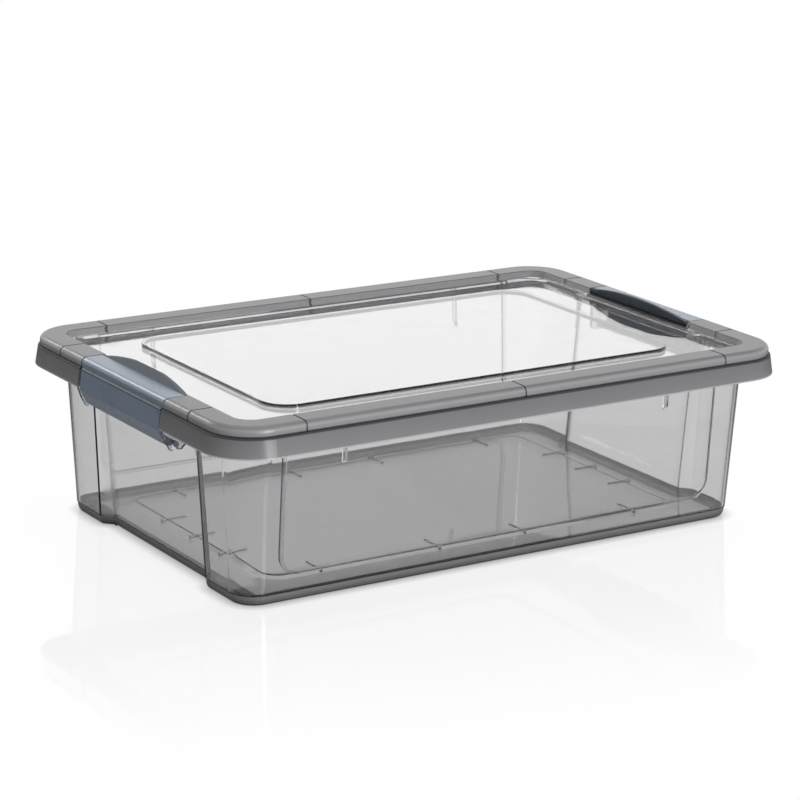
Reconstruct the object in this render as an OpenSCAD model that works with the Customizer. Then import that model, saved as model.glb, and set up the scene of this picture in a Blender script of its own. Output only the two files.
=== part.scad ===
// Potato storage bin: a clear tub with drafted walls, a clear recessed lid and two slate side latches.
// Frame: the origin is the middle of the foot on the table, the long side runs on X, the short side on Y
// and Z is up. Every size is in millimetres.

/* [Rim] */
// Length over the lower edge of the rim skirt, the longest size of the tub
rim_length = 400; // [380:1:440]
// Width over the lower edge of the rim skirt
rim_width = 269.6; // [250:1:300]
// Plan radius of the skirt's corners at its lower edge
rim_corner = 31; // [28:0.5:36]
// Height of the tub's flange above the table
flange_z = 106.9; // [95:0.5:130]
// Thickness of the flange and of the skirt
flange_wall = 1.8; // [1.4:0.1:2.4]
// Height of the skirt, from the flange down
skirt_drop = 11.9; // [9:0.1:14]
// How far the skirt leans outward from its top edge to its lower edge
skirt_flare = 1.7; // [0.5:0.1:2.5]
// Rounding of the skirt's top edge
skirt_round = 1.2; // [0.6:0.1:1.6]
// Overlap of the skirt's section with the flange's plate
flange_lap = 6; // [5:0.5:8]

/* [Tub] */
// Overhang of the rim past the end walls, at the flange
end_overhang = 15.7; // [14:0.1:17]
// Overhang of the rim past the long walls, at the flange
side_overhang = 16.9; // [15:0.1:18]
// How far each wall leans inward from the flange to the table
wall_lean = 6.4; // [3:0.1:9]
// Thickness of the tub's walls
tub_wall = 1.8; // [1.4:0.1:2.4]
// Plan radius of the wall corners at the table
foot_corner = 15.7; // [12:0.1:18]
// Height of the darker foot below the floor line
foot_height = 6.2; // [4.5:0.1:8]
// Height of the inside of the floor above the foot
floor_lift = 0.2; // [0:0.1:2]
// Step from the wall inward to the foot
foot_step = 0.5; // [0.2:0.1:1]
// Rounding of the foot's lower edge
foot_round = 3.2; // [2:0.1:4]
// Width of the ring that the tub stands on
foot_ring = 6; // [5:0.5:9]
// Thickness of the floor
floor_wall = 2; // [1.6:0.1:3]

/* [Floor pattern] */
// Gap from the inside of the walls to the raised middle of the floor
pad_margin = 19; // [16:0.5:24]
// Rise of the middle of the floor
pad_rise = 1.2; // [0.6:0.1:2]
// Width of the slope around the raised middle
pad_slope = 5; // [3:0.5:8]
// Length of the short floor ribs that end at the slope
floor_rib_length = 17; // [10:1:24]
// Width of the short floor ribs
floor_rib_width = 1.4; // [1:0.1:2]
// Height of the short floor ribs
floor_rib_rise = 0.8; // [0.4:0.1:1.2]
// Distance of the inner short ribs from the middle, along the long walls
floor_rib_near_x = 31; // [20:1:50]
// Distance of the outer short ribs from the middle, along the long walls
floor_rib_far_x = 114; // [90:1:130]
// Distance of the outer short ribs from the middle, along the end walls
floor_rib_far_y = 36.5; // [30:0.5:50]

/* [Wall recesses] */
// Depth of the recess in the middle of each end wall, at the table
end_recess_depth = 6.4; // [5:0.1:7]
// Depth of that recess at the flange
end_recess_top_depth = 4; // [3.6:0.1:5]
// Width of that recess at its back, at the table
end_recess_width = 122.6; // [118:0.1:126]
// Angle of the recess's side faces from the end wall, in plan
end_recess_angle = 44; // [36:1:50]
// Width of the shallow panel in each long wall
side_panel_width = 305; // [280:1:320]
// Depth of the shallow panel
side_panel_depth = 1.6; // [0.8:0.1:2.2]
// Height of the panel's lower edge above the table
side_panel_bottom = 18; // [12:0.5:30]
// Radius of the panel's lower corners
side_panel_corner = 11; // [6:0.5:16]
// Distance of the stop ribs under the flange from the middle, on the long walls
stop_rib_x = 114; // [90:1:130]
// Distance of the stop ribs under the flange from the middle, on the end walls
stop_rib_y = 69; // [68:0.5:80]
// Thickness of a stop rib
stop_rib_wall = 1.6; // [1.2:0.1:2.4]
// How far a stop rib stands out of the wall
stop_rib_out = 2.6; // [1.5:0.1:4]
// Length of a stop rib, from the flange down
stop_rib_drop = 27.4; // [18:0.1:34]

/* [Lid] */
// Height of the lid's rim above the tub's flange
lid_rise = 6.2; // [5.8:0.1:9]
// Step from the skirt's top edge inward to the lid's side
lid_step = 1.4; // [0.8:0.1:2]
// Thickness of the lid
lid_wall = 1.8; // [1.4:0.1:2.2]
// Width of the lid's rim, from its side to its inner edge
band_width = 16.3; // [15:0.1:18]
// Rounding of the rim's outer top edge
band_round = 3.6; // [2.4:0.1:4.2]
// Depth of the clear panel below the top of the rim
recess_depth = 5.8; // [5.4:0.1:6]
// How far the rim's inner wall leans inward towards the panel
recess_lean = 2.8; // [2:0.1:4]
// Fillet between the rim's inner wall and the panel
recess_fillet = 2; // [1.4:0.1:3]
// Length of the raised middle of the panel
raised_length = 289; // [250:1:300]
// Width of the raised middle of the panel
raised_width = 178; // [150:1:190]
// Plan radius of the raised middle's corners
raised_corner = 18; // [10:0.5:24]
// Rise of the middle of the panel
raised_rise = 2.5; // [1:0.1:3]
// Depth of the locating lip below the flange
lip_depth = 5.4; // [3:0.1:8]
// Thickness of the locating lip
lip_wall = 1.6; // [1.2:0.1:2]
// Distance of the rim's cross grooves from the middle, along the long sides
groove_x = 148.5; // [120:0.5:155]
// Distance of the rim's cross grooves from the middle, along the ends
groove_y = 81.5; // [75:0.5:90]
// Width of a cross groove
groove_width = 1.1; // [0.6:0.1:1.6]
// Depth of a cross groove
groove_depth = 0.6; // [0.3:0.1:0.9]

/* [Latches] */
// Width of a latch's hook, along the end of the bin
latch_width = 103.8; // [90:0.2:104]
// How much narrower the latch's plate is than its hook
plate_narrower = 3.2; // [2.4:0.1:4]
// Distance of the hook's inner edge outward from the inner edge of the lid's rim
hook_inset = 0.9; // [0.4:0.1:2]
// Depth of the hook's inner rib below the lid's top
hook_rib_drop = 3.4; // [2.6:0.1:3.8]
// Thickness of a latch
latch_wall = 2.1; // [1.6:0.1:2.2]
// How far the plate stands out past the hook at the fold
fold_step = 1.1; // [0.6:0.1:1.6]
// Height of the small slope above the fold
fold_slope = 0.8; // [0.4:0.1:1.4]
// Drop from the lid's top to the fold
fold_drop = 6.7; // [6:0.1:8]
// Height of the plate, from the fold down to the tucked strip
plate_drop = 12.6; // [10:0.1:14]
// How far the plate leans outward from the fold to the strip
plate_flare = 1.3; // [0.5:0.1:1.6]
// Height of the tucked strip under the plate
strip_drop = 8.3; // [7:0.1:10]
// How far the strip tucks inward
strip_tuck = 4.1; // [3:0.1:5]
// Thickness of the tucked strip
strip_wall = 2; // [1.6:0.1:2.4]
// Rounding of the strip's lower edge
strip_toe = 1; // [0.6:0.1:1.4]
// Height of the finger lip above the lid's top
finger_rise = 4.8; // [3:0.1:7]
// Distance of the ends of the finger lip's arc from the ends of the hook
finger_inset = 3.5; // [2:0.1:6]
// How far the finger lip leans inward
finger_lean = 3.5; // [3:0.1:6]
// Thickness of the finger lip at its edge
finger_wall = 1.2; // [0.8:0.1:1.6]
// Thickness of the finger lip at the lid's top
finger_root = 1; // [0.8:0.1:1.6]
// Distance of a latch's hinge axis from the end of the skirt
pivot_inset = 9.7; // [9:0.1:10.5]
// Height of the hinge axis below the flange
pivot_drop = 21.2; // [20.5:0.1:22]
// Diameter of the hinge pins
pin_diameter = 3.6; // [3:0.1:4]
// How far a hinge pin's end stands out of its clip ear
pin_overhang = 0.2; // [0.1:0.1:1]
// Thickness of a clip ear
ear_wall = 2.7; // [2:0.1:3.4]
// Bevel of a clip ear's lower corner towards the wall
ear_bevel = 2.5; // [1.5:0.1:3]
// Width of the slope under a clip ear's outer corner
ear_slope_width = 3; // [2:0.1:4]
// Height of the slope under a clip ear's outer corner
ear_slope_height = 5.6; // [4:0.1:7]
// Width of the ear's jaw on the wall side of the pin
jaw_in = 4.6; // [3:0.1:5]
// Width of the ear's jaw on the outer side of the pin
jaw_out = 4.6; // [3:0.1:5]
// How far the jaws reach below the pin's centre
jaw_drop = 3.4; // [2.6:0.1:4]
// How much narrower the ear's mouth is than the pin
mouth_snap = 0.5; // [0.2:0.1:0.8]
// How far outboard of the hinge axis the skirt's notch for a latch starts
notch_outboard = 1.2; // [0.8:0.1:2]
// How far inboard of the hinge axis the shelf of the lid's pocket ends
shelf_inboard = 3.5; // [3:0.1:5]

/* [Clearances] */
// Radial clearance of a hinge pin in its ears
pin_clearance = 0.08; // [0.02:0.01:0.1]
// Gap between the lid's seat and the flange
seat_gap = 0.15; // [0.05:0.05:0.3]
// Gap between the locating lip and the tub's walls
lip_gap = 0.7; // [0.4:0.1:1.2]
// Gap between a latch's hook and the skirt's cut ends
hook_gap = 0.5; // [0.4:0.05:1]
// Gap between a latch's hook and the ends of its pocket in the lid
pocket_gap = 1; // [0.6:0.1:1.4]
// Gap between the hook's inner rib and the shelf of the lid's pocket
hook_height_gap = 0.8; // [0.7:0.05:1.2]

/* [Hidden] */
$fn = 96;
// Overrun of a cut past the face it opens
over = 1;
// A length well past the part, for half spaces
far = 600;
// Facets of the wide arc of the finger lip
arc_fn = 360;

// Plan of the rim: the corner centres that the skirt and the lid's rim share
core_x = rim_length / 2 - rim_corner;
core_y = rim_width / 2 - rim_corner;
skirt_top_r = rim_corner - skirt_flare;
skirt_bottom_z = flange_z - skirt_drop;

// Plan of the tub's walls at the table, and their lean for each millimetre of height
lean = wall_lean / flange_z;
lean_angle = atan(lean);
base_x = rim_length / 2 - end_overhang - wall_lean;
base_y = rim_width / 2 - side_overhang - wall_lean;
floor_z = foot_height + floor_lift;
floor_low_z = floor_z - floor_wall;

// Recess in the end walls
recess_x = base_x - end_recess_depth;
recess_half = end_recess_width / 2;
recess_back_angle = atan((wall_lean + end_recess_depth - end_recess_top_depth) / flange_z);

// Raised middle of the floor
pad_x = recess_x - tub_wall - pad_margin;
pad_y = base_y - tub_wall - pad_margin;

// Lid
lid_seat = flange_z + seat_gap;
lid_top = flange_z + lid_rise;
lid_face = lid_top - recess_depth;
band_out_r = skirt_top_r - lid_step;
band_in_r = band_out_r - band_width;
recess_in_r = band_in_r - recess_lean;
band_x = core_x + band_out_r;
lip_half_x = base_x + wall_lean - tub_wall - lip_gap;
lip_half_y = base_y + wall_lean - tub_wall - lip_gap;
lip_corner = foot_corner + wall_lean - tub_wall - lip_gap;

// Latches, drawn for the end on +X
pivot_x = rim_length / 2 - pivot_inset;
pivot_z = flange_z - pivot_drop;
pin_r = pin_diameter / 2;
hook_half = latch_width / 2;
plate_half = hook_half - plate_narrower / 2;
notch_half = hook_half + hook_gap;
pocket_half = hook_half + pocket_gap;
pin_half = notch_half + ear_wall + pin_overhang;
fold_z = lid_top - fold_drop;
strip_z = fold_z - plate_drop;
strip_foot_z = strip_z - strip_drop;
plate_x = band_x + fold_step;
strip_x = plate_x + plate_flare;
strip_foot_x = strip_x - strip_tuck;
hook_in_x = core_x + band_in_r + hook_inset;
hook_rib_z = lid_top - hook_rib_drop;
shelf_z = hook_rib_z - hook_height_gap;
// The pocket's shelf ends inboard of the hinge axis, so that the opening hook always rises over it
shelf_out_x = pivot_x - shelf_inboard;
finger_top_z = lid_top + finger_rise;
finger_half = hook_half - finger_inset;
finger_arc_r = (finger_half * finger_half + finger_rise * finger_rise) / (2 * finger_rise);

// Carries a profile, drawn as distance from the core against height, around the core's rounded rectangle
module around(cx, cy) {
    for (side = [0, 1]) {
        mirror([0, side, 0])
            translate([0, cy, 0])
                rotate([90, 0, 90])
                    linear_extrude(height = 2 * cx, center = true)
                        children();
        mirror([side, 0, 0])
            translate([cx, 0, 0])
                rotate([90, 0, 0])
                    linear_extrude(height = 2 * cy, center = true)
                        children();
        for (end = [0, 1])
            mirror([end, 0, 0])
                mirror([0, side, 0])
                    translate([cx, cy, 0])
                        rotate_extrude(angle = 90)
                            children();
    }
}

// A plate with rounded corners, from z0 to z1
module rounded_plate(half_x, half_y, corner, z0, z1) {
    translate([0, 0, z0])
        linear_extrude(height = z1 - z0)
            union() {
                square([2 * (half_x - corner), 2 * half_y], center = true);
                square([2 * half_x, 2 * (half_y - corner)], center = true);
                for (sx = [-1, 1], sy = [-1, 1])
                    translate([sx * (half_x - corner), sy * (half_y - corner)])
                        circle(corner);
            }
}

// A block with the tub's lean on every side; its half sizes and corner are those at the table
module leaning_block(half_x, half_y, corner, z0, z1) {
    cx = half_x - corner;
    cy = half_y - corner;
    around(cx, cy)
        polygon([
            [0, z0],
            [corner + lean * z0, z0],
            [corner + lean * z1, z1],
            [0, z1]
        ]);
    translate([-cx, -cy, z0])
        cube([2 * cx, 2 * cy, z1 - z0]);
}

// Mirrors a feature of the end on +X to both ends
module both_ends() {
    for (side = [0, 1])
        mirror([side, 0, 0])
            children();
}

// Mirrors a feature of the side on +Y to both sides
module both_sides() {
    for (side = [0, 1])
        mirror([0, side, 0])
            children();
}

// The space of the recess in the end wall on +X, with its faces moved back by grow
module end_recess(grow) {
    intersection() {
        translate([recess_x - grow, 0, 0])
            rotate([0, recess_back_angle, 0])
                translate([0, -far / 2, -far / 2])
                    cube([far, far, far]);
        recess_side(grow);
        mirror([0, 1, 0])
            recess_side(grow);
    }
}

// The half space on the inner side of the recess's side face on +Y, which leans to close the recess upward
module recess_side(grow) {
    translate([recess_x, recess_half, 0])
        rotate([0, 0, 90 - end_recess_angle])
            rotate([lean_angle, 0, 0])
                translate([-far / 2, grow - far, -far / 2])
                    cube([far, far, far]);
}

// The space of the shallow panel in the long wall on +Y, moved back by grow
module side_panel(grow) {
    half = side_panel_width / 2 + grow;
    low = side_panel_bottom - grow;
    corner = side_panel_corner + grow;
    translate([0, base_y - side_panel_depth - grow, 0])
        rotate([90 - lean_angle, 0, 0])
            mirror([0, 0, 1])
                linear_extrude(height = 3 * side_panel_depth + grow)
                    union() {
                        translate([-half, low + corner])
                            square([2 * half, flange_z]);
                        translate([corner - half, low])
                            square([2 * (half - corner), flange_z]);
                        for (sx = [-1, 1])
                            translate([sx * (half - corner), low + corner])
                                circle(corner);
                    }
}

// The recess and panel spaces of all four walls
module wall_recesses(grow) {
    both_ends()
        end_recess(grow);
    both_sides()
        side_panel(grow);
}

// The section that rounds the foot's lower edge when it is cut away
module foot_round_cut() {
    difference() {
        translate([-foot_round, -over])
            square([foot_round + over, foot_round + over]);
        translate([-foot_round, foot_round])
            circle(foot_round);
    }
}

// Rounds the foot's lower edge along the recess on +X
module recess_foot_round() {
    side_length = end_recess_depth / sin(end_recess_angle);
    corner_x = recess_x - foot_step;
    corner_y = recess_half + foot_step * tan(end_recess_angle / 2);
    translate([corner_x, 0, 0])
        rotate([90, 0, 0])
            linear_extrude(height = 2 * corner_y, center = true)
                foot_round_cut();
    both_sides()
        translate([corner_x, corner_y, 0])
            rotate([0, 0, -end_recess_angle])
                translate([0, side_length, 0])
                    rotate([90, 0, 0])
                        linear_extrude(height = side_length)
                            foot_round_cut();
}

// The tub's outside, with the foot, before it is hollowed
module tub_outside() {
    difference() {
        leaning_block(base_x, base_y, foot_corner, foot_height, flange_z);
        wall_recesses(0);
    }
    difference() {
        leaning_block(base_x - foot_step, base_y - foot_step, foot_corner - foot_step,
            0, foot_height + foot_step);
        both_ends() {
            end_recess(foot_step);
            recess_foot_round();
        }
        around(base_x - foot_corner, base_y - foot_corner)
            translate([foot_corner - foot_step, 0])
                foot_round_cut();
    }
}

// The tub's hollow, above the floor
module tub_hollow() {
    difference() {
        leaning_block(base_x - tub_wall, base_y - tub_wall, foot_corner - tub_wall,
            floor_z, flange_z + over);
        wall_recesses(tub_wall);
    }
}

// The hollow under the floor, inside the foot ring
module foot_hollow() {
    difference() {
        rounded_plate(base_x - foot_ring, base_y - foot_ring, foot_corner - foot_ring,
            -over, floor_low_z);
        both_ends()
            end_recess(foot_ring);
    }
}

// The form of the floor's raised middle, from low up, with its slope starting at edge_z
module pad_form(low, edge_z) {
    corner = foot_corner;
    around(pad_x - corner, pad_y - corner)
        polygon([
            [0, low],
            [corner, low],
            [corner, edge_z],
            [corner - pad_slope, edge_z + pad_rise],
            [0, edge_z + pad_rise]
        ]);
    translate([corner - pad_x, corner - pad_y, low])
        cube([2 * (pad_x - corner), 2 * (pad_y - corner), edge_z + pad_rise - low]);
}

// The short ribs on the floor that end at the foot of the slope
module floor_ribs() {
    both_sides()
        for (x = [-floor_rib_far_x, -floor_rib_near_x, floor_rib_near_x, floor_rib_far_x])
            translate([x - floor_rib_width / 2, pad_y - floor_rib_length, floor_z - over])
                cube([floor_rib_width, floor_rib_length, over + pad_rise + floor_rib_rise]);
    both_ends()
        for (y = [-floor_rib_far_y, 0, floor_rib_far_y])
            translate([pad_x - floor_rib_length, y - floor_rib_width / 2, floor_z - over])
                cube([floor_rib_length, floor_rib_width, over + pad_rise + floor_rib_rise]);
}

// The section of the rim skirt, from the flange's edge down
module skirt_section() {
    union() {
        polygon([
            [skirt_top_r - flange_lap, flange_z - flange_wall],
            [skirt_top_r - flange_lap, flange_z],
            [skirt_top_r - skirt_round, flange_z],
            [skirt_top_r, flange_z - skirt_round],
            [rim_corner, skirt_bottom_z],
            [rim_corner - flange_wall, skirt_bottom_z],
            [skirt_top_r - flange_wall, flange_z - flange_wall]
        ]);
        translate([skirt_top_r - skirt_round, flange_z - skirt_round])
            circle(skirt_round);
    }
}

// The flange and the skirt, open in front of each latch
module flange_and_skirt() {
    cut_x = pivot_x + notch_outboard;
    plate_r = skirt_top_r - flange_lap + over;
    difference() {
        union() {
            rounded_plate(core_x + plate_r, core_y + plate_r, plate_r, flange_z - flange_wall, flange_z);
            around(core_x, core_y)
                skirt_section();
        }
        both_ends()
            translate([cut_x, -notch_half, skirt_bottom_z - over])
                cube([rim_corner, 2 * notch_half, skirt_drop + 2 * over]);
    }
}

// A clip ear, open downward, that holds one hinge pin; drawn for +X and +Y
module clip_ear() {
    low = pivot_z - jaw_drop;
    in_x = pivot_x - pin_r - jaw_in;
    out_x = pivot_x + pin_r + jaw_out;
    mouth = pin_diameter - mouth_snap;
    translate([0, notch_half + ear_wall, 0])
        rotate([90, 0, 0])
            linear_extrude(height = ear_wall)
                difference() {
                    polygon([
                        [in_x, flange_z - flange_wall / 2],
                        [in_x, low + ear_bevel],
                        [in_x + ear_bevel, low],
                        [out_x - ear_slope_width, low],
                        [out_x, low + ear_slope_height],
                        [rim_length / 2 - flange_wall / 2, skirt_bottom_z],
                        [core_x + skirt_top_r - flange_wall / 2, flange_z - flange_wall]
                    ]);
                    translate([pivot_x, pivot_z])
                        circle(pin_r + pin_clearance);
                    translate([pivot_x - mouth / 2, low - over])
                        square([mouth, jaw_drop + over]);
                }
}

// The small ribs under the flange that keep nested tubs from jamming
module stop_ribs() {
    low = flange_z - stop_rib_drop;
    wall_x = base_x + lean * low;
    wall_y = base_y + lean * low;
    both_sides()
        both_ends() {
            translate([0, stop_rib_y + stop_rib_wall, 0])
                rotate([90, 0, 0])
                    linear_extrude(height = stop_rib_wall)
                        rib_section(wall_x, low);
            translate([stop_rib_x, 0, 0])
                rotate([90, 0, 90])
                    linear_extrude(height = stop_rib_wall)
                        rib_section(wall_y, low);
        }
}

// One stop rib against a wall, as distance from the middle against height
module rib_section(wall, low) {
    top_wall = wall + lean * stop_rib_drop;
    polygon([
        [wall - tub_wall / 2, low],
        [wall + stop_rib_out, low + stop_rib_out],
        [top_wall + stop_rib_out, flange_z - flange_wall / 2],
        [top_wall - tub_wall / 2, flange_z - flange_wall / 2]
    ]);
}

// The tub: walls, floor, foot, flange, skirt and clip ears in one moulding
module tub() {
    color([0.62, 0.63, 0.65, 0.45]) {
        difference() {
            union() {
                difference() {
                    union() {
                        tub_outside();
                        flange_and_skirt();
                        stop_ribs();
                        both_ends()
                            both_sides()
                                clip_ear();
                    }
                    tub_hollow();
                    foot_hollow();
                }
                pad_form(floor_low_z, floor_z);
                floor_ribs();
            }
            pad_form(floor_low_z - over, floor_low_z);
        }
    }
}

// A quarter disc that rounds an upper outer corner
module quarter_round(radius) {
    intersection() {
        circle(radius);
        square(radius);
    }
}

// The outline of the lid's rim section, moved in by inset
module rim_outline(inset) {
    out_r = band_out_r - inset;
    in_r = band_in_r + inset;
    top = lid_top - inset;
    round_r = band_round - inset;
    slope = recess_lean / recess_depth;
    union() {
        polygon([
            [in_r - slope * (top - lid_seat), lid_seat],
            [in_r, top],
            [out_r - round_r, top],
            [out_r, top - round_r],
            [out_r, lid_seat]
        ]);
        translate([out_r - round_r, top - round_r])
            quarter_round(round_r);
    }
}

// The hollow under the lid's rim
module rim_channel() {
    difference() {
        around(core_x, core_y)
            union() {
                rim_outline(lid_wall);
                translate([band_in_r - recess_lean + lid_wall, lid_seat - over])
                    square([band_width + recess_lean - 2 * lid_wall, 2 * over]);
            }
        both_ends()
            both_sides()
                translate([0, pocket_half, lid_seat])
                    cube([rim_length / 2, lid_wall, lid_rise]);
        cross_slabs(lid_wall, lid_seat);
    }
}

// Slabs across the rim at every groove, as thick as told, from z0 up
module cross_slabs(thick, z0) {
    for (x = [-groove_x, 0, groove_x])
        translate([x - thick / 2, -rim_width / 2, z0])
            cube([thick, rim_width, lid_rise + over]);
    for (y = [-groove_y, groove_y])
        translate([-rim_length / 2, y - thick / 2, z0])
            cube([rim_length, thick, lid_rise + over]);
}

// The shallow grooves across the rim
module rim_grooves() {
    intersection() {
        cross_slabs(groove_width, lid_seat - over);
        difference() {
            around(core_x, core_y)
                rim_outline(-over);
            around(core_x, core_y)
                rim_outline(groove_depth);
        }
    }
}

// The lid's rim, hollow below, with a pocket for each latch
module lid_rim() {
    difference() {
        around(core_x, core_y)
            rim_outline(0);
        rim_channel();
        rim_grooves();
        both_ends()
            translate([core_x, -pocket_half, lid_seat - over])
                cube([rim_corner, 2 * pocket_half, lid_rise + 2 * over]);
    }
}

// The low shelf of the pocket on +X, which the latch's hook covers
module pocket_shelf() {
    low_in_x = core_x + recess_in_r;
    rise = shelf_z - lid_face;
    translate([0, pocket_half + lid_wall / 2, 0])
        rotate([90, 0, 0])
            linear_extrude(height = 2 * pocket_half + lid_wall)
                polygon([
                    [low_in_x - recess_fillet, lid_seat],
                    [low_in_x - recess_fillet, lid_face],
                    [low_in_x + rise * recess_lean / recess_depth, shelf_z],
                    [shelf_out_x, shelf_z],
                    [shelf_out_x, lid_seat]
                ]);
}

// The clear panel inside the rim, with its fillet against the rim's inner wall
module lid_panel() {
    plate_low = lid_face - lid_wall;
    raised_x = raised_length / 2;
    raised_y = raised_width / 2;
    difference() {
        union() {
            rounded_plate(lip_half_x, lip_half_y, lip_corner, plate_low, lid_face);
            around(core_x, core_y)
                polygon([
                    [recess_in_r - recess_fillet, lid_seat],
                    [recess_in_r - recess_fillet, lid_face],
                    [recess_in_r + recess_fillet * recess_lean / recess_depth, lid_face + recess_fillet],
                    [recess_in_r + recess_fillet, lid_face + recess_fillet / 2],
                    [recess_in_r + recess_fillet, lid_seat]
                ]);
            rounded_plate(raised_x, raised_y, raised_corner, plate_low, lid_face + raised_rise);
            locating_lip();
        }
        rounded_plate(raised_x - lid_wall, raised_y - lid_wall, raised_corner - lid_wall,
            plate_low - over, plate_low + raised_rise);
        intersection() {
            wall_recesses(tub_wall + lip_gap);
            translate([-rim_length / 2, -rim_width / 2, 0])
                cube([rim_length, rim_width, lid_seat]);
        }
    }
}

// The lip that hangs inside the tub's walls and keeps the lid in place
module locating_lip() {
    low = flange_z - lip_depth;
    difference() {
        rounded_plate(lip_half_x, lip_half_y, lip_corner, low, lid_face - lid_wall / 2);
        difference() {
            rounded_plate(lip_half_x - lip_wall, lip_half_y - lip_wall, lip_corner - lip_wall,
                low - over, lid_face - lid_wall / 2 + over);
            wall_recesses(tub_wall + lip_gap + lip_wall);
        }
    }
}

// The lid: satin rim, clear panel with a raised middle, latch pockets and locating lip
module lid() {
    color([0.68, 0.68, 0.70, 0.5]) {
        lid_rim();
        lid_panel();
        both_ends()
            pocket_shelf();
    }
}

// The hook's section, from its inner rib over the rounded top edge down to the fold
module hook_section() {
    union() {
        polygon([
            [hook_in_x, hook_rib_z],
            [hook_in_x, lid_top],
            [band_x - band_round, lid_top],
            [band_x, lid_top - band_round],
            [band_x, fold_z],
            [band_x - latch_wall, fold_z],
            [band_x - latch_wall, lid_top - latch_wall],
            [hook_in_x + latch_wall, lid_top - latch_wall],
            [hook_in_x + latch_wall, hook_rib_z]
        ]);
        translate([band_x - band_round, lid_top - band_round])
            quarter_round(band_round);
    }
}

// The plate's section: fold, leaning plate, tucked strip and the web to the hinge pins
module plate_section() {
    polygon([
        [band_x - latch_wall, fold_z + latch_wall],
        [band_x, fold_z + latch_wall],
        [band_x, fold_z + fold_slope],
        [plate_x, fold_z],
        [strip_x, strip_z],
        [strip_foot_x, strip_foot_z],
        [strip_foot_x - strip_toe, strip_foot_z - strip_toe],
        [pivot_x, pivot_z - pin_r],
        [pivot_x, pivot_z + pin_r],
        [strip_foot_x - strip_wall, pivot_z + pin_r],
        [strip_x - latch_wall, strip_z],
        [plate_x - latch_wall, fold_z]
    ]);
}

// The finger lip's section, leaning inward from the hook's inner edge
module finger_section() {
    tip_x = hook_in_x - finger_lean;
    polygon([
        [hook_in_x, hook_rib_z],
        [hook_in_x + latch_wall, hook_rib_z],
        [hook_in_x + latch_wall, lid_top - finger_root],
        [hook_in_x + finger_root, lid_top],
        [tip_x + finger_wall, finger_top_z],
        [tip_x, finger_top_z - finger_wall / 2]
    ]);
}

// A latch for the end on +X: hook, arched finger lip, plate and hinge pins
module latch() {
    rotate([90, 0, 0]) {
        linear_extrude(height = latch_width, center = true)
            hook_section();
        linear_extrude(height = 2 * plate_half, center = true)
            plate_section();
        translate([pivot_x, pivot_z, 0])
            cylinder(h = 2 * pin_half, r = pin_r, center = true);
    }
    intersection() {
        rotate([90, 0, 0])
            linear_extrude(height = latch_width, center = true)
                finger_section();
        translate([hook_in_x - finger_lean - over, 0, finger_top_z - finger_arc_r])
            rotate([0, 90, 0])
                cylinder(h = finger_lean + 3 * latch_wall, r = finger_arc_r, $fn = arc_fn);
    }
}

// The latch on the left end, on -X
module latch_left() {
    color([0.33, 0.37, 0.41])
        mirror([1, 0, 0])
            latch();
}

// The latch on the right end, on +X
module latch_right() {
    color([0.33, 0.37, 0.41])
        latch();
}

tub();
lid();
latch_left();
latch_right();
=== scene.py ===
"""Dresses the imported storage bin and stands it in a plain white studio.

The tub and the lid are clear smoke plastic with satin rims, and the latches are slate plastic.
"""
import math

import bpy
from mathutils import Matrix, Vector


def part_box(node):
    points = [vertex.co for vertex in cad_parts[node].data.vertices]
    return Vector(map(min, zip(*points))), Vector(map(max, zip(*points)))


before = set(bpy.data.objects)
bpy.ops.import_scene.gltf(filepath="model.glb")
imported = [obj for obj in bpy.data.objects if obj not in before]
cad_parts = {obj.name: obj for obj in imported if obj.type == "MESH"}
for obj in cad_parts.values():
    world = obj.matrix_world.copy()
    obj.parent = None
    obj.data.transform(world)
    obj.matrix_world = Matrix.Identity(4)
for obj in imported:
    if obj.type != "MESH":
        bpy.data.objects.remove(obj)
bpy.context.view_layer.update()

# Sizes of the bin, in metres; heights are above the table
MM = 0.001
TUB_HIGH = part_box("tub")[1]
LID_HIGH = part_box("lid")[1]
FLANGE_Z = TUB_HIGH.z
SKIRT_LOW_Z = FLANGE_Z - 11.9 * MM         # lower edge of the rim skirt
FOOT_Z = 6.2 * MM                          # top of the satin foot
LID_TOP_Z = LID_HIGH.z
PANEL_Z = LID_TOP_Z - 5.8 * MM             # top of the lid's clear panel
RAISED_Z = PANEL_Z + 2.5 * MM              # top of its raised middle
RIM_CORNER = 31 * MM                       # plan radius of the skirt's corners
CORE_X = TUB_HIGH.x - RIM_CORNER           # centres of the rim's corners
CORE_Y = TUB_HIGH.y - RIM_CORNER
SKIRT_FROM_CORE = 19 * MM                  # the satin skirt starts this far out from the rim's core
BAND_FROM_CORE = 11.2 * MM                 # the lid's satin band starts this far out
FOOT_RING_X = 165.7 * MM                   # the ring that the tub stands on starts this far out
FOOT_RING_Y = 105.7 * MM
RECESS_HALF = 61.3 * MM                    # half the width of the recess in each end wall
LIP_X = 183.4 * MM                         # a latch's finger lip lies inboard of this
FOLD_X = 194 * MM                          # the fold between its hook and plate lies outboard of this
FOLD_Z = LID_TOP_Z - 6.6 * MM              # and at this height

# Camera, as the photograph was taken
PHOTO_SIDE = 800                           # pixels, both ways
FOCAL_PIXELS = 2852.1
AZIMUTH = math.radians(32.67)
ELEVATION = math.radians(15.69)
ROLL = math.radians(-1.03)
DISTANCE = 1.78028
AIM = Vector((-3.023, -0.136, 73.128)) * MM


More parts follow.
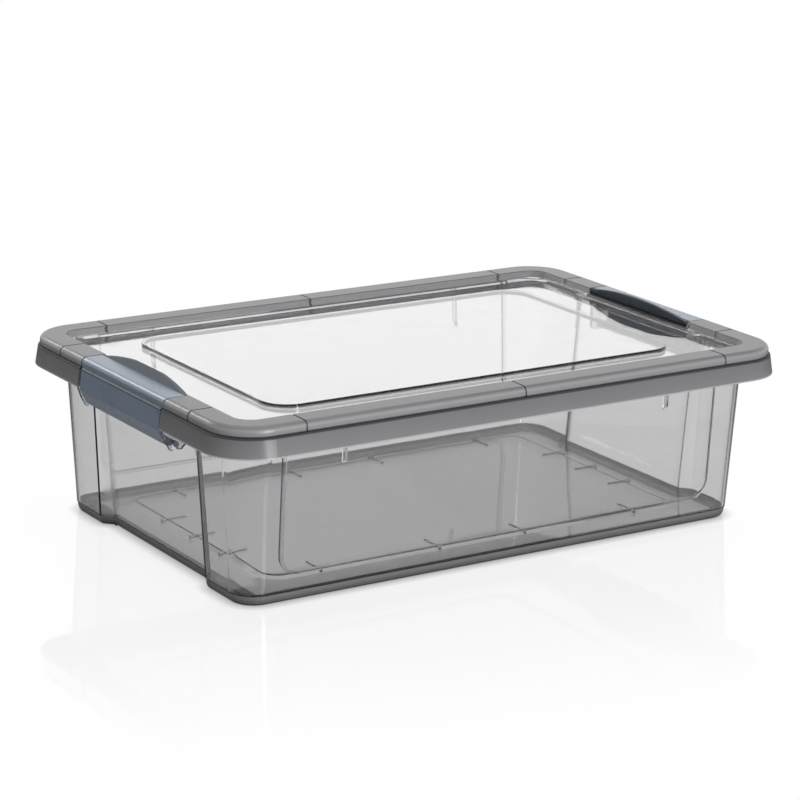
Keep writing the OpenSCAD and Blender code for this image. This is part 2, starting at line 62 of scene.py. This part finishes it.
def photo_camera():
    """The camera at the photograph's angle, distance and lens."""
    forward = Vector((
        math.sin(AZIMUTH) * math.cos(ELEVATION),
        math.cos(AZIMUTH) * math.cos(ELEVATION),
        -math.sin(ELEVATION),
    ))
    level_right = Vector((math.cos(AZIMUTH), -math.sin(AZIMUTH), 0))
    level_up = level_right.cross(forward)
    right = math.cos(ROLL) * level_right - math.sin(ROLL) * level_up
    up = math.sin(ROLL) * level_right + math.cos(ROLL) * level_up
    data = bpy.data.cameras.new("photo_camera")
    data.sensor_width = 36
    data.lens = FOCAL_PIXELS / PHOTO_SIDE * data.sensor_width
    data.clip_start, data.clip_end = 0.05, 60
    camera = bpy.data.objects.new("photo_camera", data)
    turn = Matrix((right, up, -forward)).transposed().to_4x4()
    camera.matrix_world = Matrix.Translation(AIM - forward * DISTANCE) @ turn
    bpy.context.collection.objects.link(camera)
    bpy.context.scene.camera = camera


class Nodes:
    """Adds nodes to one tree and wires them.

    A value given as a socket is linked, and any other is set on the node.
    """

    def __init__(self, tree):
        self.tree = tree
        tree.nodes.clear()

    def add(self, kind, inputs=None, **settings):
        node = self.tree.nodes.new(kind)
        for name, value in settings.items():
            setattr(node, name, value)
        for name, value in (inputs or {}).items():
            self.plug(node.inputs[name], value)
        return node

    def plug(self, socket, value):
        if isinstance(value, bpy.types.NodeSocket):
            self.tree.links.new(value, socket)
        else:
            socket.default_value = value

    def math(self, operation, a, b=0.0, clamp=False):
        node = self.add("ShaderNodeMath", operation=operation, use_clamp=clamp)
        self.plug(node.inputs[0], a)
        self.plug(node.inputs[1], b)
        return node.outputs[0]

    def vector(self, operation, a, b=(0.0, 0.0, 0.0)):
        node = self.add("ShaderNodeVectorMath", operation=operation)
        self.plug(node.inputs[0], a)
        self.plug(node.inputs[1], b)
        return node.outputs["Value" if operation in ("LENGTH", "DOT_PRODUCT") else "Vector"]

    def parts(self, vector):
        """The X, Y and Z of a vector."""
        node = self.add("ShaderNodeSeparateXYZ", {"Vector": vector})
        return node.outputs["X"], node.outputs["Y"], node.outputs["Z"]

    def all_of(self, first, *others):
        """The product of masks: 1 where all of them are 1."""
        for mask in others:
            first = self.math("MULTIPLY", first, mask)
        return first

    def any_of(self, first, *others):
        """The highest of masks: 1 where any of them is 1."""
        for mask in others:
            first = self.math("MAXIMUM", first, mask)
        return first

    def ramp(self, value, start, end, low=0.0, high=1.0, curve="LINEAR"):
        """A number that goes from low to high as value goes from start to end."""
        return self.add("ShaderNodeMapRange", {
            "Value": value, "From Min": start, "From Max": end, "To Min": low, "To Max": high,
        }, interpolation_type=curve).outputs["Result"]

    def blend(self, factor, low, high):
        """A number between low and high."""
        return self.ramp(factor, 0.0, 1.0, low, high)

    def step(self, value, edge, soft):
        """0 below edge and 1 above it, over a width of soft."""
        return self.ramp(value, edge - soft / 2, edge + soft / 2, curve="SMOOTHSTEP")

    def below(self, value, edge, soft):
        """1 below edge and 0 above it, over a width of soft."""
        return self.math("SUBTRACT", 1.0, self.step(value, edge, soft))

    def near(self, value, middle, reach, soft):
        """1 where value is within reach of middle, and 0 beyond that."""
        return self.below(self.math("ABSOLUTE", self.math("SUBTRACT", value, middle)), reach, soft)

    def colour(self, factor, low, high):
        node = self.add("ShaderNodeMix", data_type="RGBA")
        self.plug(node.inputs["Factor"], factor)
        self.plug(node.inputs[6], low)
        self.plug(node.inputs[7], high)
        return node.outputs[2]

    def noise(self, place, scale, detail=2.0, roughness=0.5):
        return self.add("ShaderNodeTexNoise", {
            "Vector": place, "Scale": scale, "Detail": detail, "Roughness": roughness,
        }).outputs["Fac"]

    def bump(self, height, depth, strength, surface):
        """Raises the surface, which is a node that gives a normal, by height times depth."""
        return self.add("ShaderNodeBump", {
            "Height": height, "Distance": depth, "Strength": strength,
            "Normal": surface.outputs["Normal"],
        })

    def mixed(self, share, first, second):
        """Two shaders in one: the first where share is 0 and the second where it is 1."""
        node = self.add("ShaderNodeMixShader", {"Fac": share})
        self.plug(node.inputs[1], first.outputs[0])
        self.plug(node.inputs[2], second.outputs[0])
        return node

    def ray_marks(self):
        """A mark for rays that see, mirror or pass to a place, and one for mirrored rays alone."""
        ray = self.add("ShaderNodeLightPath").outputs
        seen = self.any_of(ray["Is Camera Ray"], ray["Is Glossy Ray"], ray["Is Transmission Ray"])
        mirrored = self.math("SUBTRACT", ray["Is Glossy Ray"], ray["Is Transmission Ray"], clamp=True)
        return seen, mirrored


def rgb(red, green, blue):
    """A colour given as it shows on screen, 0 to 255, as linear light."""
    def linear(value):
        value = value / 255
        return value / 12.92 if value <= 0.04045 else ((value + 0.055) / 1.055) ** 2.4
    return (linear(red), linear(green), linear(blue), 1.0)


def satin_grey(level):
    """A barely cool grey as it shows on screen, 0 to 255."""
    return rgb(level, level, level + 2)


def plain_grey(level):
    """A neutral grey as a share of white light."""
    return (level, level, level, 1.0)


def new_material(name):
    """An empty material, and its nodes."""
    material = bpy.data.materials.new(name)
    material.use_nodes = True
    return material, Nodes(material.node_tree)


def out_from_core(nodes, quarter):
    """How far a point is, in plan, from the rim's core: the rectangle between its corner centres."""
    past = nodes.vector("SUBTRACT", quarter, (CORE_X, CORE_Y, LID_TOP_Z))
    return nodes.vector("LENGTH", nodes.vector("MAXIMUM", past))


# The smoke plastic of the tub and the lid
SMOKE_COLOUR = (0.52, 0.52, 0.526, 1.0)
TUB_SMOKE = 260.0                          # how strongly a metre of it darkens what is behind
LID_SMOKE = 60.0
SMOKE_IOR = 1.49
CLEAR_WHITE = (0.97, 0.97, 0.975, 1.0)
TUB_EDGE_TINT = (0.06, 0.06, 0.063, 1.0)   # upright walls where they turn away
LID_EDGE_TINT = (0.35, 0.35, 0.355, 1.0)
RISER_SHADE = (0.20, 0.20, 0.205, 1.0)      # painted shade on the step up to the lid's raised middle
SHADOW_CLEAR = (0.94, 0.94, 0.945, 1.0)    # lamplight that the clear and the satin parts let through
SHADOW_SATIN = (0.70, 0.70, 0.71, 1.0)
SATIN_SEEN_THROUGH = 0.22                  # share of the satin finish that can be seen through
CLEAR_ROUGH, SATIN_ROUGH = 0.03, 0.31
ROUGH_VARIES = 0.03                        # how much cloudiness in the finish changes its roughness
SEAM_ROUGH = 0.7
RECESS_ROUGH = 0.22                        # the corners of the end recesses
SHARP_CORNER, RECESS_CORNER = 0.5 * MM, 1.3 * MM    # radius of the light on them
WAVE_DEPTH, GRAIN_DEPTH = 0.6 * MM, 0.04 * MM

# Greys of its satin finish, with painted highlight, light and shade
SKIRT_EDGE_HIGHLIGHT, SKIRT_LOW_LIT, SKIRT_HIGH_SHADED, SKIRT_SHUT_SHADE = [satin_grey(level) for level in (180, 114, 98, 66)]
# Painted shade on the band's top, painted light on its side, painted shade at its shut line
BAND_TOP_SHADED, BAND_SIDE_LIT, BAND_SHUT_SHADE = [satin_grey(level) for level in (78, 136, 58)]
# Painted shade: the foot is darker towards the table
FOOT_LOW_SHADED, FOOT_HIGH = satin_grey(77), satin_grey(113)
# Painted shade in the satin grooves and seams
SEAM_SHADE_GREY = satin_grey(34)
CLOUD_GREY = satin_grey(112)
CLOUD_SHARE = 0.3


def smoke_plastic(name, satin_with_shading, smoke_density, edge_tint):
    """Clear glossy smoke plastic that deepens to edge_tint where its upright walls turn away.

    The satin function passed in gives the mask and the grey of the mould's textured parts, with painted
    shade in their grooves and seams.
    """
    material, nodes = new_material(name)
    coordinates = nodes.add("ShaderNodeTexCoord").outputs
    place = coordinates["Object"]
    quarter = nodes.vector("ABSOLUTE", place)       # the four quarters of the bin are alike
    y, height = nodes.parts(quarter)[1:]
    from_core = out_from_core(nodes, quarter)
    cloud = nodes.noise(place, scale=22.0, detail=3.0)

    # Satin parts, with painted shade in their grooves and along the line where the lid shuts on the
    # flange
    satin, grey = satin_with_shading(nodes, quarter, from_core)
    grey = nodes.colour(nodes.blend(cloud, 0.0, CLOUD_SHARE), grey, CLOUD_GREY)
    open_air = nodes.add(
        "ShaderNodeAmbientOcclusion", {"Distance": 1.6 * MM}, samples=6).outputs["AO"]
    shaded_seam = nodes.any_of(
        nodes.below(open_air, edge=0.66, soft=0.4),
        nodes.near(height, FLANGE_Z - 0.3 * MM, reach=0.7 * MM, soft=0.5 * MM))
    # Painted shade darkens the grey in the grooves and at the shut line
    grey = nodes.colour(shaded_seam, grey, SEAM_SHADE_GREY)

    # Clear parts: upright walls that turn away, and painted shade on the step up to the lid's raised
    # middle
    flatness = nodes.math("ABSOLUTE", nodes.parts(coordinates["Normal"])[2])
    upright = nodes.below(flatness, edge=0.5, soft=0.4)
    turned = nodes.add("ShaderNodeLayerWeight", {"Blend": 0.5}).outputs["Facing"]
    turned = nodes.all_of(nodes.step(turned, edge=0.66, soft=0.18), upright)
    shaded_riser = nodes.all_of(
        nodes.step(height, edge=PANEL_Z + 0.1 * MM, soft=0.2 * MM),
        nodes.below(height, edge=RAISED_Z - 0.1 * MM, soft=0.2 * MM),
        nodes.below(from_core, edge=0.2 * MM, soft=0.2 * MM),
        nodes.below(flatness, edge=0.92, soft=0.08))
    clear = nodes.colour(shaded_riser, nodes.colour(turned, CLEAR_WHITE, edge_tint), RISER_SHADE)

    # The corners of the end recesses catch the light more softly
    corner = nodes.all_of(
        nodes.near(y, RECESS_HALF, reach=4.5 * MM, soft=2.0 * MM),
        nodes.math("SUBTRACT", 1.0, satin))
    outer = nodes.step(from_core, edge=0.5 * MM, soft=1.0 * MM)

    rough = nodes.math(
        "ADD", nodes.blend(satin, CLEAR_ROUGH, SATIN_ROUGH),
        nodes.math("MULTIPLY", nodes.math("SUBTRACT", cloud, 0.5), ROUGH_VARIES))
    rough = nodes.any_of(
        rough,
        nodes.all_of(shaded_seam, satin, SEAM_ROUGH),
        nodes.all_of(corner, upright, outer, RECESS_ROUGH))
    rounded = nodes.add("ShaderNodeBevel", {
        "Radius": nodes.blend(corner, SHARP_CORNER, RECESS_CORNER),
    }, samples=4)
    wavy = nodes.bump(nodes.noise(place, scale=30.0, detail=1.0), WAVE_DEPTH, 0.25, rounded)
    spark = nodes.noise(place, scale=2600.0, detail=2.0, roughness=0.6)
    grain = nodes.bump(nodes.all_of(spark, satin), GRAIN_DEPTH, 0.5, wavy)
    plastic = nodes.add("ShaderNodeBsdfPrincipled", {
        "Base Color": nodes.colour(satin, clear, grey), "Roughness": rough, "IOR": SMOKE_IOR,
        "Transmission Weight": nodes.blend(satin, 1.0, SATIN_SEEN_THROUGH),
        "Normal": grain.outputs["Normal"],
    })

    # Light from the lamps goes straight through, and the plastic's thickness darkens what is seen
    passed = nodes.add("ShaderNodeBsdfTransparent", {
        "Color": nodes.colour(satin, SHADOW_CLEAR, SHADOW_SATIN),
    })
    ray = nodes.add("ShaderNodeLightPath").outputs
    surface = nodes.mixed(nodes.any_of(ray["Is Shadow Ray"], ray["Is Diffuse Ray"]), plastic, passed)
    smoke = nodes.add("ShaderNodeVolumeAbsorption", {"Color": SMOKE_COLOUR, "Density": smoke_density})
    nodes.add("ShaderNodeOutputMaterial", {"Surface": surface.outputs[0], "Volume": smoke.outputs[0]})
    return material


def tub_satin_shading(nodes, quarter, from_core):
    """The tub's textured skirt, with a painted highlight at its lower edge, painted shading from light
    low down to dark up top and painted shade at its shut line, and its foot, with painted shade low
    down.
    """
    x, y, height = nodes.parts(quarter)
    skirt = nodes.all_of(
        nodes.step(from_core, edge=SKIRT_FROM_CORE, soft=0.6 * MM),
        nodes.step(height, edge=SKIRT_LOW_Z - 0.3 * MM, soft=0.4 * MM))
    foot = nodes.all_of(
        nodes.below(height, edge=FOOT_Z - 0.1 * MM, soft=0.3 * MM),
        nodes.any_of(
            nodes.step(x, edge=FOOT_RING_X, soft=0.4 * MM),
            nodes.step(y, edge=FOOT_RING_Y, soft=0.4 * MM)))

    # Painted shading: the skirt is lighter low down and darker up towards the flange
    grey = nodes.colour(nodes.ramp(height, SKIRT_LOW_Z, FLANGE_Z), SKIRT_LOW_LIT, SKIRT_HIGH_SHADED)
    # A painted highlight along the skirt's lower edge
    grey = nodes.colour(
        nodes.step(height, edge=SKIRT_LOW_Z + 0.7 * MM, soft=0.6 * MM), SKIRT_EDGE_HIGHLIGHT, grey)
    # Painted shade along the shut line under the lid
    grey = nodes.colour(
        nodes.step(height, edge=FLANGE_Z - 1.0 * MM, soft=0.8 * MM), grey, SKIRT_SHUT_SHADE)
    # Painted shade: the foot is darker towards the table
    foot_shaded_grey = nodes.colour(
        nodes.step(height, edge=FOOT_Z * 0.55, soft=FOOT_Z), FOOT_LOW_SHADED, FOOT_HIGH)
    return nodes.any_of(skirt, foot), nodes.colour(foot, grey, foot_shaded_grey)


def lid_satin_shading(nodes, quarter, from_core):
    """The textured band of the lid's rim, with painted shade on its flat top, painted light on its side,
    and painted shade where it meets the flange.
    """
    height = nodes.parts(quarter)[2]
    band = nodes.all_of(
        nodes.step(from_core, edge=BAND_FROM_CORE, soft=0.3 * MM),
        nodes.step(height, edge=FLANGE_Z, soft=0.1 * MM))
    # Painted shade on the flat top and painted light on the side
    grey = nodes.colour(
        nodes.step(height, edge=LID_TOP_Z - 1.2 * MM, soft=2.0 * MM), BAND_SIDE_LIT, BAND_TOP_SHADED)
    # Painted shade where the band meets the flange
    grey = nodes.colour(
        nodes.step(height, edge=FLANGE_Z + 0.9 * MM, soft=0.8 * MM), BAND_SHUT_SHADE, grey)
    return band, grey


# The slate plastic of the latches
SLATE_DARK, SLATE_LIGHT = rgb(97, 110, 125), rgb(109, 121, 136)
SLATE_LIP_SHADE = rgb(50, 58, 68)               # painted shade on the finger lip and in the fold
SLATE_IOR = 1.5
SLATE_ROUGH_LOW, SLATE_ROUGH_HIGH, DULL_ROUGH = 0.24, 0.32, 0.55


def slate_plastic(name):
    """Solid blue-grey plastic with a fine moulded grain and a soft gloss, rougher and with painted shade
    at its lip and fold.
    """
    material, nodes = new_material(name)
    place = nodes.add("ShaderNodeTexCoord").outputs["Object"]
    x, _, height = nodes.parts(nodes.vector("ABSOLUTE", place))
    cloud = nodes.noise(place, scale=35.0, detail=3.0)
    # The finger lip and the fold: rougher, and painted darker with shade
    dull_and_shaded = nodes.any_of(
        nodes.below(x, edge=LIP_X, soft=1.2 * MM),
        nodes.all_of(
            nodes.near(height, FOLD_Z, reach=0.9 * MM, soft=0.6 * MM),
            nodes.step(x, edge=FOLD_X, soft=0.5 * MM)))
    spark = nodes.noise(place, scale=2200.0, detail=2.0, roughness=0.6)
    rounded = nodes.add("ShaderNodeBevel", {"Radius": SHARP_CORNER}, samples=4)
    plastic = nodes.add("ShaderNodeBsdfPrincipled", {
        "Base Color": nodes.colour(dull_and_shaded, nodes.colour(cloud, SLATE_DARK, SLATE_LIGHT), SLATE_LIP_SHADE),
        "Roughness": nodes.blend(
            dull_and_shaded, nodes.blend(cloud, SLATE_ROUGH_LOW, SLATE_ROUGH_HIGH), DULL_ROUGH),
        "IOR": SLATE_IOR,
        "Normal": nodes.bump(spark, GRAIN_DEPTH, 0.4, rounded).outputs["Normal"],
    })
    nodes.add("ShaderNodeOutputMaterial", {"Surface": plastic.outputs[0]})
    return material


def dress(node, material):
    """Gives a CAD node its finish."""
    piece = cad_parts[node]
    if not piece.material_slots:
        piece.data.materials.append(material)
    for held in piece.material_slots:
        held.material = material


# The studio
FLOOR_HALF = 6.0
FLOOR_SHOWN_WHITE = 0.90                   # share of plain white in the floor seen near the bin
FLOOR_MIRRORED = 0.12                      # how bright the floor stands in the bin's gloss, at the back
FLOOR_MIRRORED_FRONT = 0.50                # and in front of the bin
FLOOR_IOR = 1.3
FLOOR_POLISH = 0.6                         # share of its polish that is left near the bin
CONTACT_SHADOW_REACH = 8 * MM                     # how far the painted shadow at the foot spreads
# Painted shadow: the floor's paint and its shown white darken where the floor is closed in, at the foot
# and under the bin
CONTACT_SHADOW_PAINT, OPEN_PAINT = plain_grey(0.25), plain_grey(0.60)
CONTACT_SHADOW_SHOWN, OPEN_SHOWN = plain_grey(0.35), plain_grey(1.0)
WALL_WHITE = plain_grey(1.0)
WALL_MIRRORED = 1.35                       # how bright the white walls stand in glossy surfaces
FILL_FROM = Vector((-0.05, -0.85, 0.50)).normalized()
FILL_BACK, FILL_FRONT = 0.06, 0.95         # what the walls light the bin with, behind it and in front


def studio_floor():
    """A wide white floor with a faint gloss.

    It keeps the bin's shadow, has a painted shadow at the bin's foot and under it, and fades to plain
    white around it.
    """
    mesh = bpy.data.meshes.new("studio_floor")
    side = FLOOR_HALF
    corners = [(-side, -side, 0), (side, -side, 0), (side, side, 0), (-side, side, 0)]
    mesh.from_pydata(corners, [], [(0, 1, 2, 3)])
    floor = bpy.data.objects.new("studio_floor", mesh)
    bpy.context.collection.objects.link(floor)
    material, nodes = new_material("white_floor")
    place = nodes.add("ShaderNodeTexCoord").outputs["Object"]
    half_bins = nodes.vector("LENGTH", nodes.vector("DIVIDE", place, (TUB_HIGH.x, TUB_HIGH.y, 1.0)))
    away = nodes.step(half_bins, edge=2.1, soft=1.4)
    front = nodes.below(nodes.parts(place)[1], edge=-0.28, soft=0.45)

    # Painted shadow at the bin's foot and under it, from how closed in the floor is there
    open_air = nodes.add(
        "ShaderNodeAmbientOcclusion", {"Distance": CONTACT_SHADOW_REACH}, samples=8).outputs["AO"]
    paint = nodes.add("ShaderNodeBsdfPrincipled", {
        "Base Color": nodes.colour(open_air, CONTACT_SHADOW_PAINT, OPEN_PAINT),
        "Roughness": 0.5, "IOR": FLOOR_IOR,
    })
    seen, mirrored = nodes.ray_marks()
    shown = nodes.add("ShaderNodeEmission", {
        "Color": nodes.colour(open_air, CONTACT_SHADOW_SHOWN, OPEN_SHOWN),
        "Strength": nodes.blend(mirrored, 1.0, nodes.blend(front, FLOOR_MIRRORED, FLOOR_MIRRORED_FRONT)),
    })
    matt = nodes.mixed(nodes.all_of(seen, nodes.blend(away, FLOOR_SHOWN_WHITE, 1.0)), paint, shown)
    fresnel = nodes.add("ShaderNodeFresnel", {"IOR": FLOOR_IOR}).outputs[0]
    gloss = nodes.add("ShaderNodeBsdfAnisotropic", {"Color": plain_grey(1.0), "Roughness": 0.03})
    polished = nodes.mixed(nodes.all_of(fresnel, nodes.blend(away, FLOOR_POLISH, 0.0)), matt, gloss)
    nodes.add("ShaderNodeOutputMaterial", {"Surface": polished.outputs[0]})
    mesh.materials.append(material)


def white_room():
    """White all round for what is seen, mirrored or seen through.

    What it lights the bin with is softer, and weak from behind.
    """
    world = bpy.data.worlds.new("white_room")
    bpy.context.scene.world = world
    world.use_nodes = True
    nodes = Nodes(world.node_tree)
    seen, mirrored = nodes.ray_marks()
    direction = nodes.add("ShaderNodeTexCoord").outputs["Generated"]
    fill = nodes.ramp(
        nodes.vector("DOT_PRODUCT", direction, FILL_FROM), -0.3, 0.8, FILL_BACK, FILL_FRONT)
    light = nodes.add("ShaderNodeBackground", {"Color": WALL_WHITE, "Strength": fill})
    wall = nodes.add("ShaderNodeBackground", {
        "Color": WALL_WHITE, "Strength": nodes.blend(mirrored, 1.0, WALL_MIRRORED),
    })
    nodes.add("ShaderNodeOutputWorld", {"Surface": nodes.mixed(seen, light, wall).outputs[0]})


def softbox(name, place, aim_z, width, height, power):
    """A soft rectangular lamp that faces the middle of the bin at the height aim_z."""
    data = bpy.data.lights.new(name, "AREA")
    data.shape = "RECTANGLE"
    data.size, data.size_y = width, height
    data.energy = power
    lamp = bpy.data.objects.new(name, data)
    lamp.location = place
    lamp.rotation_mode = "QUATERNION"
    lamp.rotation_quaternion = (Vector((0, 0, aim_z)) - Vector(place)).to_track_quat("-Z", "Y")
    bpy.context.collection.objects.link(lamp)


photo_camera()
studio_floor()
white_room()
softbox("top_box", place=(0.1, 0.3, 1.5), aim_z=0.08, width=1.2, height=0.9, power=7.5)
softbox("back_box", place=(-0.6, 1.9, 1.25), aim_z=0.1, width=0.8, height=0.5, power=9)
softbox("corner_strip", place=(0.25, -2.2, 0.62), aim_z=0.06, width=0.34, height=1.2, power=30)
bpy.context.scene.view_settings.view_transform = "Standard"
bpy.context.scene.cycles.max_bounces = 20
bpy.context.scene.cycles.transmission_bounces = 20
bpy.context.scene.cycles.transparent_max_bounces = 40

dress("tub", smoke_plastic("tub_smoke", tub_satin_shading, TUB_SMOKE, TUB_EDGE_TINT))
dress("lid", smoke_plastic("lid_smoke", lid_satin_shading, LID_SMOKE, LID_EDGE_TINT))
for side in ("latch_left", "latch_right"):
    dress(side, slate_plastic(side + "_slate"))
